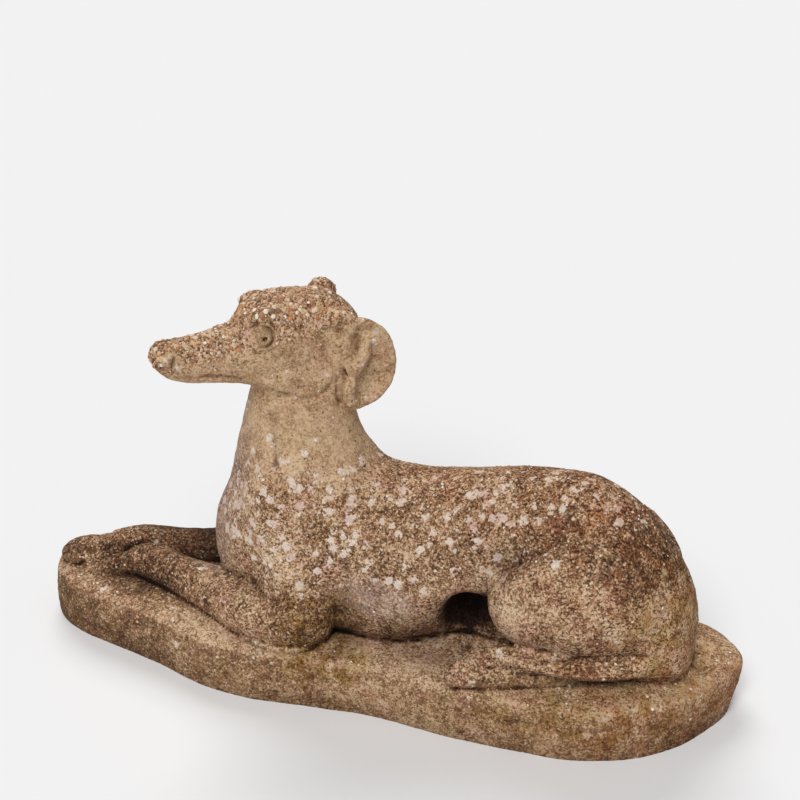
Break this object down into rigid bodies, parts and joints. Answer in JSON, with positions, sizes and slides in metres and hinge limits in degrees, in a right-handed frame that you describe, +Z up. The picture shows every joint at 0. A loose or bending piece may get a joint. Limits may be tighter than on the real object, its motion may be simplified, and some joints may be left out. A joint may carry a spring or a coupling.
{
  "type": "lying greyhound statue",
  "caption": "Lying greyhound with raised, turned head on a low naturalistic base, cast in one piece in weathered composition stone.",
  "frame": {"origin": "centre of the base's underside, at the middle of the overall box", "axes": "+Z up, -X to the dog's front paws, -Y to the dog's left side"},
  "size_m": [0.9474, 0.2998, 0.5181],
  "materials": {
    "composition_stone": "rough"
  },
  "bodies": {
    "root": {"greyhound_on_base": "composition_stone"}
  },
  "joints": []
}
